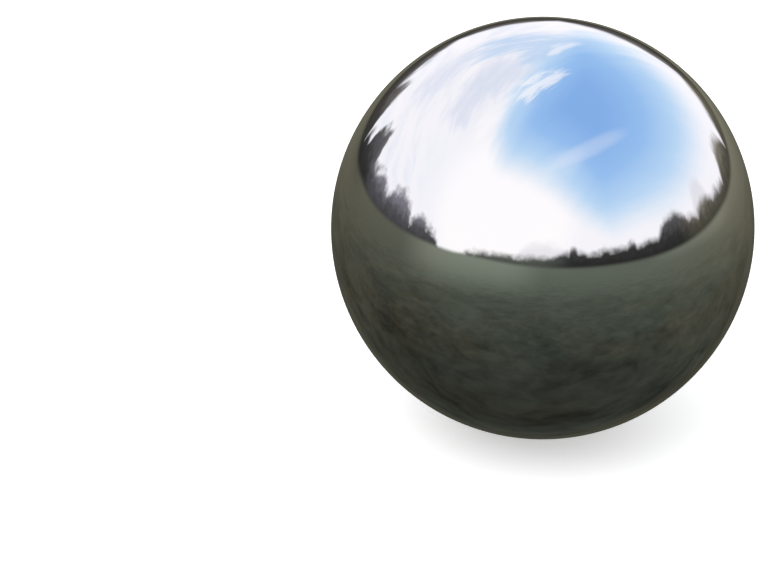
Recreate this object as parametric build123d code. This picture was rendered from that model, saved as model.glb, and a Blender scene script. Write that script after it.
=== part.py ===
from build123d import *
import os

# A solid steel ball, ground and lapped all over to a mirror polish.
# It is made from one slug of bar, so it has no seam, flat, hole or mark anywhere on it.
# Sizes are in millimetres. The origin is the ball's centre, and +Z is up.

# 25.4 mm is the one inch stock size.
ball_diameter = 25.4


def make_steel_ball():
    """The whole ball: one true sphere about the origin."""
    ball = Sphere(radius=ball_diameter / 2)
    ball.label = "steel_ball"
    return ball


pieces = {
    "steel_ball": make_steel_ball(),
}

os.makedirs("parts", exist_ok=True)
for node, solid in pieces.items():
    export_step(solid, f"parts/{node}.step")
    print(node, "volume", round(solid.volume, 1), "mm3")
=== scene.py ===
import bpy
from math import cos, radians, sin
from mathutils import Color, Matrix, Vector


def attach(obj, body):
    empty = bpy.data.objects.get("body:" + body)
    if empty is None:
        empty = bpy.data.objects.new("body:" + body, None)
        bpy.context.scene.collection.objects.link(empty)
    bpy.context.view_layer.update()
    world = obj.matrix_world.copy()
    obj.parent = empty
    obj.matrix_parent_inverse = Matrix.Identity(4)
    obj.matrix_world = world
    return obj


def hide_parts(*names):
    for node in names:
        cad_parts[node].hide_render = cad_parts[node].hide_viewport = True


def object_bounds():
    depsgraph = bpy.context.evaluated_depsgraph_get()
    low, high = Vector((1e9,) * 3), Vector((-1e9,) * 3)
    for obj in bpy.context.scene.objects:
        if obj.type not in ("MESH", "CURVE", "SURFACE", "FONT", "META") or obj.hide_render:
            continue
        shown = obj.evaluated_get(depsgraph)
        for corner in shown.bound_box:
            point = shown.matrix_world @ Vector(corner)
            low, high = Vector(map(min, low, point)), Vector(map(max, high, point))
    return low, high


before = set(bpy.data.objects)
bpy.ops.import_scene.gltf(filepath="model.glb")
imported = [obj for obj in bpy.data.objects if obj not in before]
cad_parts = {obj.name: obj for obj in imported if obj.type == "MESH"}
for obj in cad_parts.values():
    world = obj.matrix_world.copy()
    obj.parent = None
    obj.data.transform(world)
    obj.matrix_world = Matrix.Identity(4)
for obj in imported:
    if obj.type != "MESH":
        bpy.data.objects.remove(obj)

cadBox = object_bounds()


# small helpers for placing things and for building node trees

def deselectAll():
    bpy.ops.object.select_all(action="DESELECT")


def onlySelect(piece):
    deselectAll()
    piece.select_set(True)
    bpy.context.view_layer.objects.active = piece


def towards(azimuth, height):
    # a direction from the ball: azimuth 0 is straight behind it, 90 is to its right, both in degrees
    level = cos(radians(height))
    return Vector((sin(radians(azimuth)) * level, cos(radians(azimuth)) * level, sin(radians(height))))


def seen(red, green, blue):
    # a colour as it shows on screen, 0 to 255, turned into light
    return (*Color((red / 255, green / 255, blue / 255)).from_srgb_to_scene_linear(), 1)


def addNode(tree, kind, **settings):
    node = tree.nodes.new(kind)
    for name, value in settings.items():
        setattr(node, name, value)
    return node


def feed(tree, socket, value):
    # the value is another node's output, or a plain number, vector or colour
    if isinstance(value, bpy.types.NodeSocket):
        tree.links.new(value, socket)
    else:
        socket.default_value = value


def reckon(tree, operation, *values):
    node = addNode(tree, "ShaderNodeMath", operation=operation)
    for socket, value in zip(node.inputs, values):
        feed(tree, socket, value)
    return node.outputs["Value"]


def reckonVector(tree, operation, *values):
    node = addNode(tree, "ShaderNodeVectorMath", operation=operation)
    for socket, value in zip(node.inputs, values):
        feed(tree, socket, value)
    plain = operation in ("DOT_PRODUCT", "DISTANCE")
    return node.outputs["Value" if plain else "Vector"]


def joinVector(tree, x, y, z):
    node = addNode(tree, "ShaderNodeCombineXYZ")
    feed(tree, node.inputs["X"], x)
    feed(tree, node.inputs["Y"], y)
    feed(tree, node.inputs["Z"], z)
    return node.outputs["Vector"]


def fade(tree, value, start, end):
    # 0 at the start value, 1 at the end value, with soft shoulders
    node = addNode(tree, "ShaderNodeMapRange", interpolation_type="SMOOTHSTEP")
    feed(tree, node.inputs["Value"], value)
    feed(tree, node.inputs["From Min"], start)
    feed(tree, node.inputs["From Max"], end)
    return node.outputs["Result"]


def noise(tree, vector, scale, detail=2.0, roughness=0.5, distortion=0.0, turn=0.0):
    node = addNode(tree, "ShaderNodeTexNoise", noise_dimensions="4D")
    feed(tree, node.inputs["Vector"], vector)
    feed(tree, node.inputs["W"], turn)
    feed(tree, node.inputs["Scale"], scale)
    feed(tree, node.inputs["Detail"], detail)
    feed(tree, node.inputs["Roughness"], roughness)
    feed(tree, node.inputs["Distortion"], distortion)
    return node.outputs["Fac"]


def swing(tree, value, reach):
    # noise lies round a half: this makes it run about evenly either side of nothing
    return reckon(tree, "MULTIPLY", reckon(tree, "SUBTRACT", value, 0.5), reach)


def blendColours(tree, share, first, second):
    # some sockets of this node share a name, so they are found by number
    node = addNode(tree, "ShaderNodeMix", data_type="RGBA")
    feed(tree, node.inputs[0], share)
    feed(tree, node.inputs[6], first)
    feed(tree, node.inputs[7], second)
    return node.outputs[2]


def colourSteps(tree, value, steps):
    # steps are (value, colour on screen), from low to high
    low = steps[0][0]
    span = steps[-1][0] - low
    node = addNode(tree, "ShaderNodeValToRGB")
    ramp = node.color_ramp
    while len(ramp.elements) < len(steps):
        ramp.elements.new(0.5)
    for stop, (place, colour) in zip(ramp.elements, steps):
        stop.position = (place - low) / span
        stop.color = seen(*colour)
    feed(tree, node.inputs["Fac"], reckon(tree, "DIVIDE", reckon(tree, "SUBTRACT", value, low), span))
    return node.outputs["Color"]


def newGroup(name, inputs, output):
    group = bpy.data.node_groups.new(name, "ShaderNodeTree")
    for label, kind in inputs:
        group.interface.new_socket(name=label, in_out="INPUT", socket_type=kind)
    group.interface.new_socket(name=output, in_out="OUTPUT", socket_type="NodeSocketFloat")
    inlet = group.nodes.new("NodeGroupInput")
    outlet = group.nodes.new("NodeGroupOutput")
    return group, inlet.outputs, outlet.inputs


def useGroup(tree, group, **values):
    node = addNode(tree, "ShaderNodeGroup", node_tree=group)
    for label, value in values.items():
        feed(tree, node.inputs[label], value)
    return node.outputs[0]


# the ball

ball = {
    "radius": (cadBox[1][2] - cadBox[0][2]) / 2,
    "rounds": 5,              # each one cuts every face in four and rounds the block again
    "smoothing": 1,           # last level, which evens out the faces near the block's corners
}


def makeBall():
    # a cube is rounded a step at a time, so the faces stay square and even and there are no poles
    deselectAll()
    bpy.ops.mesh.primitive_cube_add(size=2 * ball["radius"] / 3 ** 0.5, location=(0, 0, 0))
    piece = bpy.context.object
    piece.name = "polishedBall"
    piece.data.name = "polishedBall"
    bpy.ops.object.mode_set(mode="EDIT")
    bpy.ops.mesh.select_all(action="SELECT")
    for turn in range(ball["rounds"]):
        bpy.ops.mesh.subdivide(number_cuts=1, smoothness=0)
        bpy.ops.transform.tosphere(value=1)
    bpy.ops.mesh.normals_make_consistent(inside=False)
    bpy.ops.object.mode_set(mode="OBJECT")

    evening = piece.modifiers.new("evening", "SUBSURF")
    evening.levels = ball["smoothing"]
    evening.render_levels = ball["smoothing"]
    truing = piece.modifiers.new("truing", "CAST")
    truing.cast_type = "SPHERE"
    truing.factor = 1
    truing.use_radius_as_size = False
    truing.size = ball["radius"]
    onlySelect(piece)
    bpy.ops.object.modifier_apply(modifier="evening")
    bpy.ops.object.modifier_apply(modifier="truing")
    bpy.ops.object.shade_smooth()
    return piece


# the steel

steel = {
    "colour": (0.70, 0.70, 0.69, 1),
    "coolColour": (0.685, 0.692, 0.692, 1),   # faint cloudiness in the polish
    "mirrorRoughness": 0.010,
    "hazeRoughness": 0.022,
    "trackRoughness": 0.035,                  # added along the finest marks of the lapping plates
    "cloudsPerMm": 0.16,
    "cloudEdge": (0.35, 0.7),                 # from clear to cloudy
    "tracksPerMm": 4.0,
    "trackEdge": (0.66, 0.74),                # only the crests of the noise make a track
    "breaksPerMm": 0.22,
    "breakEdge": (0.52, 0.62),
    "turnBetween": 7.0,                       # keeps the tracks about each axis unlike the others
    "trackAxes": ((0.36, 0.48, 0.80), (-0.80, 0.36, 0.48), (0.48, -0.80, 0.36)),
}


def makeLappingTracks():
    # hair-fine circles about one axis, broken into short arcs
    group, inlet, outlet = newGroup(
        "lappingTracks",
        [("Place", "NodeSocketVector"), ("Axis", "NodeSocketVector"), ("PerMm", "NodeSocketFloat"),
         ("Turn", "NodeSocketFloat")],
        "Tracks",
    )
    along = reckonVector(group, "DOT_PRODUCT", inlet["Place"], inlet["Axis"])
    lines = addNode(group, "ShaderNodeTexNoise", noise_dimensions="1D")
    feed(group, lines.inputs["W"], reckon(group, "ADD", along, inlet["Turn"]))
    feed(group, lines.inputs["Scale"], inlet["PerMm"])
    feed(group, lines.inputs["Detail"], 1.0)
    fine = fade(group, lines.outputs["Fac"], *steel["trackEdge"])
    breaks = noise(group, inlet["Place"], steel["breaksPerMm"], turn=inlet["Turn"])
    broken = fade(group, breaks, *steel["breakEdge"])
    feed(group, outlet["Tracks"], reckon(group, "MULTIPLY", fine, broken))
    return group


def makeSteel():
    material = bpy.data.materials.new("mirrorPolishedSteel")
    material.use_nodes = True
    tree = material.node_tree
    shader = tree.nodes["Principled BSDF"]
    shader.inputs["Metallic"].default_value = 1
    place = addNode(tree, "ShaderNodeTexCoord").outputs["Object"]
    inMm = reckonVector(tree, "MULTIPLY", place, (1000, 1000, 1000))

    clouds = fade(tree, noise(tree, inMm, steel["cloudsPerMm"], detail=4), *steel["cloudEdge"])
    colour = blendColours(tree, clouds, steel["colour"], steel["coolColour"])
    feed(tree, shader.inputs["Base Color"], colour)

    group = makeLappingTracks()
    allTracks = 0.0
    for number, axis in enumerate(steel["trackAxes"]):
        tracks = useGroup(
            tree, group,
            Place=inMm,
            Axis=axis,
            PerMm=steel["tracksPerMm"],
            Turn=steel["turnBetween"] * number,
        )
        allTracks = reckon(tree, "MAXIMUM", allTracks, tracks)
    haze = reckon(tree, "MULTIPLY", clouds, steel["hazeRoughness"] - steel["mirrorRoughness"])
    base = reckon(tree, "ADD", haze, steel["mirrorRoughness"])
    extra = reckon(tree, "MULTIPLY", allTracks, steel["trackRoughness"])
    feed(tree, shader.inputs["Roughness"], reckon(tree, "ADD", base, extra))
    return material


polishedBall = makeBall()
polishedBall.data.materials.append(makeSteel())
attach(polishedBall, "root")
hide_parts("steel_ball")
print("ball made:", len(polishedBall.data.polygons), "faces")


# the canopy: a white cloth overhead with a blue panel let into it
# places on it are counted from straight overhead, in degrees to the right and to the back

canopy = {
    "white": (255, 252, 255),
    "shadedWhite": (246, 244, 251),
    "whitePool": (-30, -58),       # the cloth is at its whitest round here
    "poolReach": (34, 56),
    "panel": (                     # colour by how far in from the panel's edge
        (-16, (242, 243, 251)),
        (-6, (224, 234, 249)),
        (4, (185, 214, 245)),
        (20, (150, 190, 239)),
        (40, (131, 174, 232)),
    ),
    "panelReach": 65,              # its far edge, all round
    "panelRuns": (                 # its straight edges, with the blue on the right of each run
        {"from": (-27, -24), "to": (10, 56), "steepness": 1.9},
        {"from": (64, -22), "to": (44, -49), "steepness": 1.2},
        {"from": (44, -54), "to": (16, -54), "steepness": 1.4},
        {"from": (22, -51), "to": (-24, -21), "steepness": 1.15},
        {"from": (-20, -20), "to": (-20, 0), "steepness": 1.5},
    ),
    "corner": 8,                   # rounds off where two edges meet
    "panelEdge": (-4, -18),        # the blue gives way to the white cloth
    "grain": (0.62, 0.78),         # the way the feathers run
    "grainLength": 34,
    "grainWidth": 6,
    "bendScale": 0.03,             # slow bends in the feathers
    "bendReach": 16,
    "feathering": (5, 22),         # plain on the near side, stronger on the far left
    "farLeft": (-0.8, 0.6),
    "farLeftEdge": (-2, 20),
    "wispEdge": (0.4, 0.74),
    "wispStrength": 0.6,
    "wispReach": (48, 78),         # none of them near the white pool
    "frayLength": 16,
    "frayWidth": 3.2,
    "markEdge": (1.3, 0),
    "mist": (216, 222, 240),
    "paleBlue": (190, 212, 242),
}

# long soft marks on the canopy
# width is half the whole width, bow is how far the ends bend aside, fray is how broken the edge is
softMarks = (
    {"from": (-24, 50), "to": (16, 57), "width": 12, "bow": 0, "fray": 3,
     "strength": 0.85, "colour": "paleBlue"},
    {"from": (-42, 3), "to": (-22, 30), "width": 8, "bow": 1, "fray": 2.5,
     "strength": 0.8, "colour": "mist"},
    {"from": (-46, 40), "to": (-16, 62), "width": 10, "bow": 0, "fray": 3,
     "strength": 0.6, "colour": "mist"},
    {"from": (-26, 14), "to": (-6, 42), "width": 13, "bow": 1, "fray": 2.5,
     "strength": 0.85, "colour": "mist"},
    {"from": (-7, 32), "to": (6, 48), "width": 6, "bow": 0, "fray": 2,
     "strength": 0.85, "colour": "paleBlue"},
    {"from": (-12, 6), "to": (8, 29), "width": 6, "bow": 0.5, "fray": 5,
     "strength": 0.66, "colour": "white"},
    {"from": (3, 39), "to": (13, 57), "width": 3, "bow": 0.5, "fray": 4,
     "strength": 0.5, "colour": "white"},
    {"from": (-34, -8), "to": (-18, 6), "width": 4.5, "bow": 0.5, "fray": 4,
     "strength": 0.4, "colour": "white"},
    {"from": (40, -3), "to": (2, -38), "width": 4.6, "bow": 3.6, "fray": 0.5,
     "strength": 0.2, "colour": "white"},
    {"from": (20, -24), "to": (-8, -42), "width": 8, "bow": 2, "fray": 0.5,
     "strength": 0.15, "colour": "white"},
)


def makeSoftMark():
    # a long soft patch with a feathered edge
    group, inlet, outlet = newGroup(
        "softMark",
        [("Plan", "NodeSocketVector"), ("Middle", "NodeSocketVector"), ("Along", "NodeSocketVector"),
         ("Across", "NodeSocketVector"), ("HalfLength", "NodeSocketFloat"), ("Width", "NodeSocketFloat"),
         ("Bow", "NodeSocketFloat"), ("Fray", "NodeSocketFloat")],
        "Patch",
    )
    offset = reckonVector(group, "SUBTRACT", inlet["Plan"], inlet["Middle"])
    along = reckonVector(group, "DOT_PRODUCT", offset, inlet["Along"])
    across = reckonVector(group, "DOT_PRODUCT", offset, inlet["Across"])
    lengthShare = reckon(group, "DIVIDE", along, inlet["HalfLength"])
    lengthSquare = reckon(group, "MULTIPLY", lengthShare, lengthShare)
    bowed = reckon(group, "ADD", across, reckon(group, "MULTIPLY", inlet["Bow"], lengthSquare))
    lie = joinVector(
        group,
        reckon(group, "DIVIDE", along, canopy["frayLength"]),
        reckon(group, "DIVIDE", bowed, canopy["frayWidth"]),
        0,
    )
    ripple = noise(group, lie, 1, detail=4, roughness=0.6)
    widthShare = reckon(group, "DIVIDE", bowed, inlet["Width"])
    widthSquare = reckon(group, "MULTIPLY", widthShare, widthShare)
    frayed = reckon(group, "ADD", lengthSquare, swing(group, ripple, inlet["Fray"]))
    fromMiddle = reckon(group, "ADD", frayed, widthSquare)
    feed(group, outlet["Patch"], fade(group, fromMiddle, *canopy["markEdge"]))
    return group


def makePanelDepth(tree, plan):
    # how far in from the blue panel's edge, below 0 outside it
    away = reckonVector(tree, "DISTANCE", plan, (0, 0, 0))
    depth = reckon(tree, "SUBTRACT", canopy["panelReach"], away)
    for run in canopy["panelRuns"]:
        start = Vector(run["from"])
        heading = (Vector(run["to"]) - start).normalized()
        inward = Vector((heading.y, -heading.x, 0))
        across = reckonVector(tree, "DOT_PRODUCT", plan, inward)
        inside = reckon(tree, "SUBTRACT", across, start.dot(inward.to_2d()))
        inside = reckon(tree, "MULTIPLY", inside, run["steepness"])
        depth = reckon(tree, "SMOOTH_MIN", depth, inside, canopy["corner"])
    return depth


def makeCanopy(tree, plan):
    alongX, alongY = canopy["grain"]
    along = reckonVector(tree, "DOT_PRODUCT", plan, (alongX, alongY, 0))
    across = reckonVector(tree, "DOT_PRODUCT", plan, (-alongY, alongX, 0))
    bend = swing(tree, noise(tree, plan, canopy["bendScale"], turn=3.0), canopy["bendReach"])
    across = reckon(tree, "ADD", across, bend)
    lie = joinVector(
        tree,
        reckon(tree, "DIVIDE", along, canopy["grainLength"]),
        reckon(tree, "DIVIDE", across, canopy["grainWidth"]),
        0,
    )
    feathers = noise(tree, lie, 1, detail=5, roughness=0.58, turn=1.0)

    # the far left side is combed out, the near side is smooth
    farLeft = reckonVector(tree, "DOT_PRODUCT", plan, (*canopy["farLeft"], 0))
    farLeft = fade(tree, farLeft, *canopy["farLeftEdge"])
    plainest, strongest = canopy["feathering"]
    strength = reckon(tree, "ADD", reckon(tree, "MULTIPLY", farLeft, strongest - plainest), plainest)
    drift = reckon(tree, "MULTIPLY", swing(tree, feathers, 1), strength)
    depth = reckon(tree, "ADD", makePanelDepth(tree, plan), drift)
    blue = colourSteps(tree, depth, canopy["panel"])

    pool = reckonVector(tree, "DISTANCE", plan, (*canopy["whitePool"], 0))
    shaded = fade(tree, pool, *canopy["poolReach"])
    cloth = blendColours(tree, shaded, seen(*canopy["white"]), seen(*canopy["shadedWhite"]))
    wisps = fade(tree, feathers, *canopy["wispEdge"])
    wisps = reckon(tree, "MULTIPLY", wisps, reckon(tree, "MULTIPLY", farLeft, canopy["wispStrength"]))
    misty = reckon(tree, "MULTIPLY", wisps, fade(tree, pool, *canopy["wispReach"]))
    cloth = blendColours(tree, misty, cloth, seen(*canopy["mist"]))
    colour = blendColours(tree, fade(tree, depth, *canopy["panelEdge"]), blue, cloth)

    group = makeSoftMark()
    for mark in softMarks:
        start = Vector((*mark["from"], 0))
        end = Vector((*mark["to"], 0))
        heading = (end - start).normalized()
        patch = useGroup(
            tree, group,
            Plan=plan,
            Middle=(start + end) / 2,
            Along=heading,
            Across=Vector((-heading.y, heading.x, 0)),
            HalfLength=(end - start).length / 2,
            Width=mark["width"],
            Bow=mark["bow"],
            Fray=mark["fray"],
        )
        share = reckon(tree, "MULTIPLY", patch, mark["strength"])
        colour = blendColours(tree, share, colour, seen(*canopy[mark["colour"]]))
    return colour


# the skirt: a ragged dark strip round the foot of the canopy

skirt = {
    "tone": (                      # colour by height above its foot, in degrees
        (0, (42, 43, 42)),
        (4, (52, 52, 52)),
        (8, (76, 75, 77)),
        (16, (98, 96, 99)),
    ),
    "tints": (                     # how much lighter it is on some sides
        {"azimuth": 62, "reach": (45, 28), "tint": (2.5, 2.35, 1.85)},
        {"azimuth": 270, "reach": (38, 24), "tint": (2.3, 2.25, 2.55)},
        {"azimuth": 0, "reach": (42, 22), "tint": (1.6, 1.52, 1.42)},
        {"azimuth": 202, "reach": (36, 8), "tint": (3.2, 3.4, 3.1)},
    ),
    "toneDrift": 9,
    "bare": -3,                    # its top between the rises, below its foot
    "topFlatness": 2.2,            # of each rise: 2 and 1 would make a parabola
    "endSteepness": 0.7,
    "tears": (10, 20),             # large and small ones
    "ragged": (4.5, 1.5),          # how far each kind reaches
    "left": {"azimuth": 290, "reach": (75, 25)},
    "leftRaggedness": 1.4,         # added to 1 there
    "edge": (2.5, 3.0),            # softer on the left
    "veil": (210, 207, 217),       # thin pale cloth that shows above it in two places
    "veilStrength": 0.5,
    "veilTears": 9,
    "veilRagged": 10,
    "veilEdge": (0, 8),
}

# its rises: where, half their width, and their height above its foot, in degrees
skirtRises = (
    {"azimuth": 15, "width": 14, "height": 11.5},
    {"azimuth": 31, "width": 16, "height": 7.5},
    {"azimuth": 53, "width": 12, "height": 10.5},
    {"azimuth": 76, "width": 25, "height": 6},
    {"azimuth": 83, "width": 12, "height": 9},
    {"azimuth": 96, "width": 9, "height": 7.5},
    {"azimuth": 108, "width": 14, "height": 13},
    {"azimuth": 124, "width": 12, "height": 6},
    {"azimuth": 142, "width": 44, "height": 5.6},
    {"azimuth": 135, "width": 5, "height": 7.5},
    {"azimuth": 150, "width": 5, "height": 6.5},
    {"azimuth": 167, "width": 4, "height": 8.6},
    {"azimuth": 168, "width": 17, "height": 6},
    {"azimuth": 176, "width": 30, "height": 4.2},
    {"azimuth": 205, "width": 26, "height": 3.2},
    {"azimuth": 253, "width": 13, "height": 9},
    {"azimuth": 271, "width": 14, "height": 13.5},
    {"azimuth": 293, "width": 20, "height": 10},
    {"azimuth": 307, "width": 6, "height": 18},
    {"azimuth": 312, "width": 7, "height": 16},
    {"azimuth": 318, "width": 16, "height": 4.5},
    {"azimuth": 331, "width": 8, "height": 14},
    {"azimuth": 343, "width": 16, "height": 10},
    {"azimuth": 358, "width": 12, "height": 10.5},
)
veilRises = (
    {"azimuth": 85, "width": 9, "height": 21},
    {"azimuth": 183, "width": 16, "height": 15},
)


def makeSkirtRise():
    # one rounded rise: its height above the foot at each azimuth
    group, inlet, outlet = newGroup(
        "skirtRise",
        [("Level", "NodeSocketVector"), ("Middle", "NodeSocketVector"), ("Side", "NodeSocketVector"),
         ("Width", "NodeSocketFloat"), ("Height", "NodeSocketFloat"), ("Bare", "NodeSocketFloat")],
        "Top",
    )
    sideways = reckonVector(group, "DOT_PRODUCT", inlet["Level"], inlet["Side"])
    offset = reckon(group, "DIVIDE", sideways, inlet["Width"])
    outward = reckon(group, "POWER", reckon(group, "ABSOLUTE", offset), skirt["topFlatness"])
    inside = reckon(group, "MAXIMUM", reckon(group, "SUBTRACT", 1, outward), 0)
    bulge = reckon(group, "POWER", inside, skirt["endSteepness"])
    facing = reckonVector(group, "DOT_PRODUCT", inlet["Level"], inlet["Middle"])
    bulge = reckon(group, "MULTIPLY", bulge, reckon(group, "GREATER_THAN", facing, 0))
    climb = reckon(group, "MULTIPLY", bulge, reckon(group, "SUBTRACT", inlet["Height"], inlet["Bare"]))
    feed(group, outlet["Top"], reckon(group, "ADD", climb, inlet["Bare"]))
    return group


def highestOf(tree, group, level, places, bare):
    top = bare
    for place in places:
        rise = useGroup(
            tree, group,
            Level=level,
            Middle=towards(place["azimuth"], 0),
            Side=towards(place["azimuth"] + 90, 0),
            Width=sin(radians(place["width"])),
            Height=place["height"],
            Bare=bare,
        )
        top = reckon(tree, "MAXIMUM", top, rise)
    return top


def onSide(tree, level, side):
    # 1 within the inner angle of that side's azimuth, 0 beyond the outer one
    outer, inner = side["reach"]
    facing = reckonVector(tree, "DOT_PRODUCT", level, towards(side["azimuth"], 0))
    return fade(tree, facing, cos(radians(outer)), cos(radians(inner)))


def makeSkirt(tree, direction, aboveFoot, level, behind):
    group = makeSkirtRise()
    veilWear = noise(tree, direction, skirt["veilTears"], detail=3, turn=2.0)
    veilWear = swing(tree, veilWear, skirt["veilRagged"])
    veilTop = highestOf(tree, group, level, veilRises, 0.0)
    veilGap = reckon(tree, "SUBTRACT", reckon(tree, "ADD", veilTop, veilWear), aboveFoot)
    veil = fade(tree, veilGap, *skirt["veilEdge"])
    veil = reckon(tree, "MULTIPLY", veil, skirt["veilStrength"])
    colour = blendColours(tree, veil, behind, seen(*skirt["veil"]))

    top = highestOf(tree, group, level, skirtRises, skirt["bare"])
    largeTears, smallTears = skirt["tears"]
    coarse = noise(tree, direction, largeTears, detail=2)
    fine = noise(tree, direction, smallTears, detail=3)
    coarseReach, fineReach = skirt["ragged"]
    wear = reckon(tree, "ADD", swing(tree, coarse, coarseReach), swing(tree, fine, fineReach))
    left = onSide(tree, level, skirt["left"])
    more = reckon(tree, "ADD", 1, reckon(tree, "MULTIPLY", left, skirt["leftRaggedness"]))
    wear = reckon(tree, "MULTIPLY", wear, more)
    gap = reckon(tree, "SUBTRACT", reckon(tree, "ADD", top, wear), aboveFoot)
    crisp, soft = skirt["edge"]
    edge = reckon(tree, "ADD", reckon(tree, "MULTIPLY", left, soft - crisp), crisp)
    shown = fade(tree, gap, reckon(tree, "MULTIPLY", edge, -1), edge)

    drifted = reckon(tree, "ADD", aboveFoot, swing(tree, fine, skirt["toneDrift"]))
    tone = colourSteps(tree, drifted, skirt["tone"])
    for side in skirt["tints"]:
        share = onSide(tree, level, side)
        tint = blendColours(tree, share, (1, 1, 1, 1), (*side["tint"], 1))
        tone = reckonVector(tree, "MULTIPLY", tone, tint)
    return blendColours(tree, shown, colour, tone)


# the lower cloth: dark green, darkest straight below

lowerCloth = {
    "tone": (                      # colour by depth below the skirt's foot, in degrees
        (0, (99, 103, 94)),
        (10, (90, 94, 85)),
        (22, (72, 76, 68)),
        (45, (56, 59, 53)),
        (75, (48, 51, 47)),
    ),
    "brown": (1.12, 0.99, 0.9),
    "green": (0.96, 1.015, 1.005),
    "shallowest": 0.04,            # keeps the mottle from running out to nowhere
    "mottle": {"scale": 1.7, "detail": 2, "roughness": 0.55, "distortion": 0.6, "turn": 6.0},
    "mottleReach": 0.9,
    "mottleDepths": (0, 24),       # it comes in between these depths
    "grain": {"scale": 5.5, "detail": 3, "roughness": 0.6, "distortion": 0.6, "turn": 9.0},
    "grainReach": 1.4,
    "grainDepths": (8, 48),
    "hue": {"scale": 1.0, "detail": 2, "roughness": 0.5, "distortion": 0.4, "turn": 12.0},
    "hueDepths": (2, 34),
    "hueEdge": (-0.22, 0.24),      # from brown to green
    "greenInFront": 0.24,
    "patches": (                   # lighter or darker sides: none at the first depth, full at the second
        {"azimuth": 222, "reach": (42, 14), "depths": (24, 4), "lighter": 0.6},
        {"azimuth": 132, "reach": (44, 18), "depths": (7, 0), "lighter": -0.12},
        {"azimuth": 94, "reach": (34, 10), "depths": (7, 2), "lighter": 0.3},
        {"azimuth": 45, "reach": (50, 20), "depths": (12, 1), "lighter": 0.25},
        {"azimuth": 15, "reach": (60, 25), "depths": (12, 22), "lighter": -0.2},
        {"azimuth": 335, "reach": (35, 12), "depths": (8, 0), "lighter": -0.2},
        {"azimuth": 290, "reach": (60, 20), "depths": (90, 60), "lighter": -0.2},
    ),
}


def makeLowerCloth(tree, direction, level, depth):
    # the cloth lies flat one unit below: its mottle would run together near the skirt, so it fades there
    down = reckonVector(tree, "DOT_PRODUCT", direction, (0, 0, -1))
    down = reckon(tree, "MAXIMUM", down, lowerCloth["shallowest"])
    flat = reckonVector(tree, "DIVIDE", direction, joinVector(tree, down, down, down))
    mottle = swing(tree, noise(tree, flat, **lowerCloth["mottle"]), lowerCloth["mottleReach"])
    mottle = reckon(tree, "MULTIPLY", mottle, fade(tree, depth, *lowerCloth["mottleDepths"]))
    grain = swing(tree, noise(tree, flat, **lowerCloth["grain"]), lowerCloth["grainReach"])
    grain = reckon(tree, "MULTIPLY", grain, fade(tree, depth, *lowerCloth["grainDepths"]))
    lightness = reckon(tree, "ADD", reckon(tree, "ADD", mottle, grain), 1)
    for patch in lowerCloth["patches"]:
        share = onSide(tree, level, patch)
        share = reckon(tree, "MULTIPLY", share, fade(tree, depth, *patch["depths"]))
        lightness = reckon(tree, "ADD", lightness, reckon(tree, "MULTIPLY", share, patch["lighter"]))

    # brown and green show through in turn, with more green in front
    hue = swing(tree, noise(tree, flat, **lowerCloth["hue"]), 1)
    hue = reckon(tree, "MULTIPLY", hue, fade(tree, depth, *lowerCloth["hueDepths"]))
    inFront = reckonVector(tree, "DOT_PRODUCT", direction, towards(180, 0))
    hue = reckon(tree, "ADD", hue, reckon(tree, "MULTIPLY", inFront, lowerCloth["greenInFront"]))
    greenness = fade(tree, hue, *lowerCloth["hueEdge"])
    tint = blendColours(tree, greenness, (*lowerCloth["brown"], 1), (*lowerCloth["green"], 1))
    tone = reckonVector(tree, "MULTIPLY", colourSteps(tree, depth, lowerCloth["tone"]), tint)
    return reckonVector(tree, "MULTIPLY", tone, joinVector(tree, lightness, lightness, lightness))


# the light dome: canopy, skirt and lower cloth together, which is what the polish shows

dome = {
    "footHeight": 1.0,             # the foot of the skirt, in degrees above level
    "footTilt": (195, 4.2),        # and this much more on that side
    "footDrops": (                 # where it hangs lower, and how far
        {"azimuth": 145, "reach": (75, 20), "drop": 1.6},
        {"azimuth": 350, "reach": (45, 20), "drop": 2},
    ),
    "footEdge": (-1, 1.6),
    "plainLight": 1.0,
}


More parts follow.
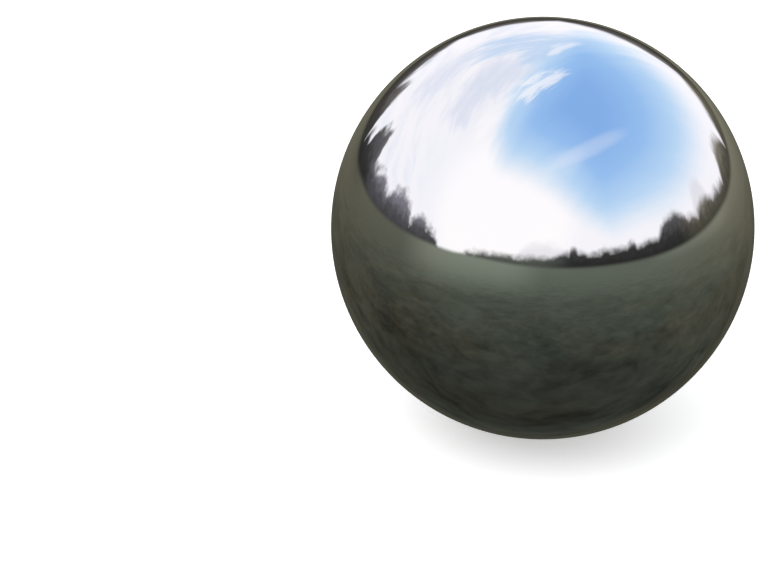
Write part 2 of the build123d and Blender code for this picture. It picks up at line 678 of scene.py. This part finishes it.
def makeDome():
    world = bpy.data.worlds.new("lightDome")
    bpy.context.scene.world = world
    world.use_nodes = True
    tree = world.node_tree
    tree.nodes.clear()
    direction = addNode(tree, "ShaderNodeTexCoord").outputs["Object"]
    level = reckonVector(tree, "NORMALIZE", reckonVector(tree, "MULTIPLY", direction, (1, 1, 0)))
    parts = addNode(tree, "ShaderNodeSeparateXYZ")
    feed(tree, parts.inputs["Vector"], direction)
    height = reckon(tree, "DEGREES", reckon(tree, "ARCSINE", parts.outputs["Z"]))
    fromTop = reckon(tree, "SUBTRACT", 90, height)
    plan = reckonVector(tree, "MULTIPLY", level, joinVector(tree, fromTop, fromTop, 0))
    tiltSide, tilt = dome["footTilt"]
    lean = reckonVector(tree, "DOT_PRODUCT", direction, towards(tiltSide, 0))
    lean = reckon(tree, "MULTIPLY", lean, tilt)
    aboveFoot = reckon(tree, "SUBTRACT", reckon(tree, "SUBTRACT", height, lean), dome["footHeight"])

    colour = makeCanopy(tree, plan)
    colour = makeSkirt(tree, direction, aboveFoot, level, colour)
    depth = reckon(tree, "MULTIPLY", aboveFoot, -1)
    lower = 0.0
    for side in dome["footDrops"]:
        drop = reckon(tree, "MULTIPLY", onSide(tree, level, side), side["drop"])
        lower = reckon(tree, "ADD", lower, drop)
    below = fade(tree, reckon(tree, "SUBTRACT", depth, lower), *dome["footEdge"])
    colour = blendColours(tree, below, colour, makeLowerCloth(tree, direction, level, depth))

    # the steel gives back only part of the light, so the dome is that much brighter
    picture = addNode(tree, "ShaderNodeBackground")
    feed(tree, picture.inputs["Color"], colour)
    feed(tree, picture.inputs["Strength"], 1 / steel["colour"][0])
    plain = addNode(tree, "ShaderNodeBackground")
    feed(tree, plain.inputs["Color"], (1, 1, 1, 1))
    feed(tree, plain.inputs["Strength"], dome["plainLight"])

    # reflected rays see the dome and all others see plain white
    # two sockets of the choice share a name, so they are found by number
    ray = addNode(tree, "ShaderNodeLightPath")
    choice = addNode(tree, "ShaderNodeMixShader")
    feed(tree, choice.inputs[0], ray.outputs["Is Glossy Ray"])
    feed(tree, choice.inputs[1], plain.outputs["Background"])
    feed(tree, choice.inputs[2], picture.outputs["Background"])
    feed(tree, addNode(tree, "ShaderNodeOutputWorld").inputs["Surface"], choice.outputs["Shader"])


makeDome()
print("light dome made")


# the floor: a pale sheet with a faint glow of its own, which keeps its shadow light

floor = {
    "size": 3.0,
    "paper": (0.90, 0.90, 0.90, 1),
    "paperShade": (0.885, 0.885, 0.88, 1),
    "fibresPerMetre": 900,
    "fibreEdge": (0.3, 0.7),
    "roughness": 0.9,
    "specular": 0.1,
    "glow": 0.45,
}


def makeFloor():
    deselectAll()
    bpy.ops.mesh.primitive_plane_add(size=floor["size"], location=(0, 0, -ball["radius"]))
    sheet = bpy.context.object
    sheet.name = "paleFloor"
    bpy.ops.object.transform_apply(location=True, rotation=True, scale=True)
    sheet.visible_glossy = False

    material = bpy.data.materials.new("palePaper")
    material.use_nodes = True
    tree = material.node_tree
    shader = tree.nodes["Principled BSDF"]
    shader.inputs["Roughness"].default_value = floor["roughness"]
    shader.inputs["Specular IOR Level"].default_value = floor["specular"]
    place = addNode(tree, "ShaderNodeTexCoord").outputs["Object"]
    fibres = fade(tree, noise(tree, place, floor["fibresPerMetre"], detail=3), *floor["fibreEdge"])
    colour = blendColours(tree, fibres, floor["paper"], floor["paperShade"])
    feed(tree, shader.inputs["Base Color"], colour)
    shader.inputs["Emission Color"].default_value = (1, 1, 1, 1)
    shader.inputs["Emission Strength"].default_value = floor["glow"]
    sheet.data.materials.append(material)


makeFloor()
print("floor laid")


# the key light: one large soft panel, high on the left and in front

keyLight = {"azimuth": 220, "height": 52, "distance": 0.6, "size": 0.45, "power": 1.2}


def addKeyLight():
    away = towards(keyLight["azimuth"], keyLight["height"])
    light = bpy.data.lights.new("softPanel", "AREA")
    light.shape = "SQUARE"
    light.size = keyLight["size"]
    light.energy = keyLight["power"]
    lamp = bpy.data.objects.new("softPanel", light)
    lamp.location = away * keyLight["distance"]
    lamp.rotation_euler = away.to_track_quat("Z", "Y").to_euler()
    lamp.visible_glossy = False
    bpy.context.collection.objects.link(lamp)


addKeyLight()


# the camera, at the photograph's angle; its place is counted in the ball's radii

camera = {
    "place": (-0.748, -10.075, 4.479),
    "tiltDown": 25.364,            # in degrees
    "lens": 108.8,                 # in millimetres, and so is the sensor
    "sensor": 36,
    "nearest": 0.001,              # in metres
}


def addCamera():
    data = bpy.data.cameras.new("camera")
    data.lens = camera["lens"]
    data.sensor_width = camera["sensor"]
    data.clip_start = camera["nearest"]
    eye = bpy.data.objects.new("camera", data)
    eye.location = Vector(camera["place"]) * ball["radius"]
    eye.rotation_euler = (radians(90 - camera["tiltDown"]), 0, 0)
    bpy.context.collection.objects.link(eye)
    bpy.context.scene.camera = eye
    bpy.context.scene.view_settings.view_transform = "Standard"


addCamera()
print("camera and light set")
